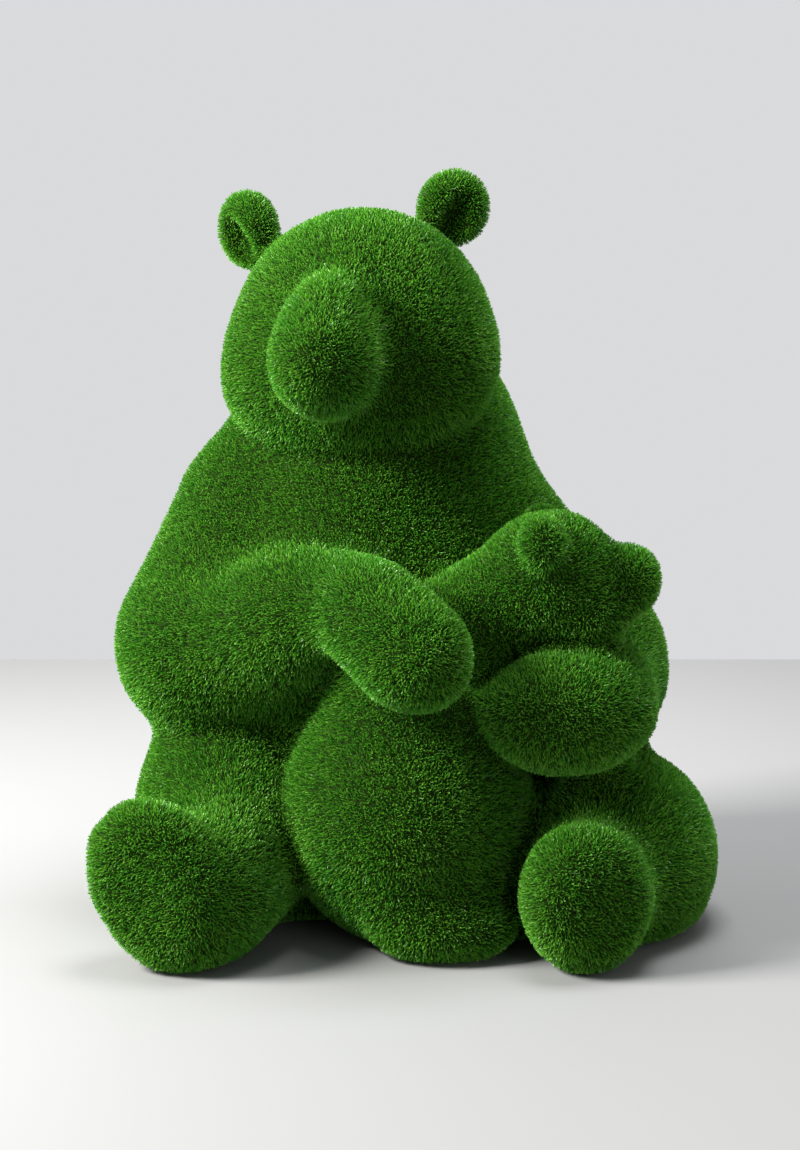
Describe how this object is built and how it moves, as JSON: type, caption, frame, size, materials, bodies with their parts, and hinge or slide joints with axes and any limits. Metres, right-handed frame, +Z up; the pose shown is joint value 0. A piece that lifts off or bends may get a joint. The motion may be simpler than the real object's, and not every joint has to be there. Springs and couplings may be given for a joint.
{
  "type": "topiary panda garden figure",
  "caption": "Sitting bear figure covered in green artificial turf, hugging a cub that has its back to the front; moulded as one and resting on its flat underside.",
  "frame": {"origin": "on the ground, under the middle of the figure's box", "axes": "+Z up, the figure faces -Y, and the cub's head points to +X"},
  "size_m": [1.2146, 1.1228, 1.4987],
  "materials": {
    "turf": "artificial turf with an upright pile"
  },
  "bodies": {
    "root": {"panda_with_cub": "turf"}
  },
  "joints": []
}
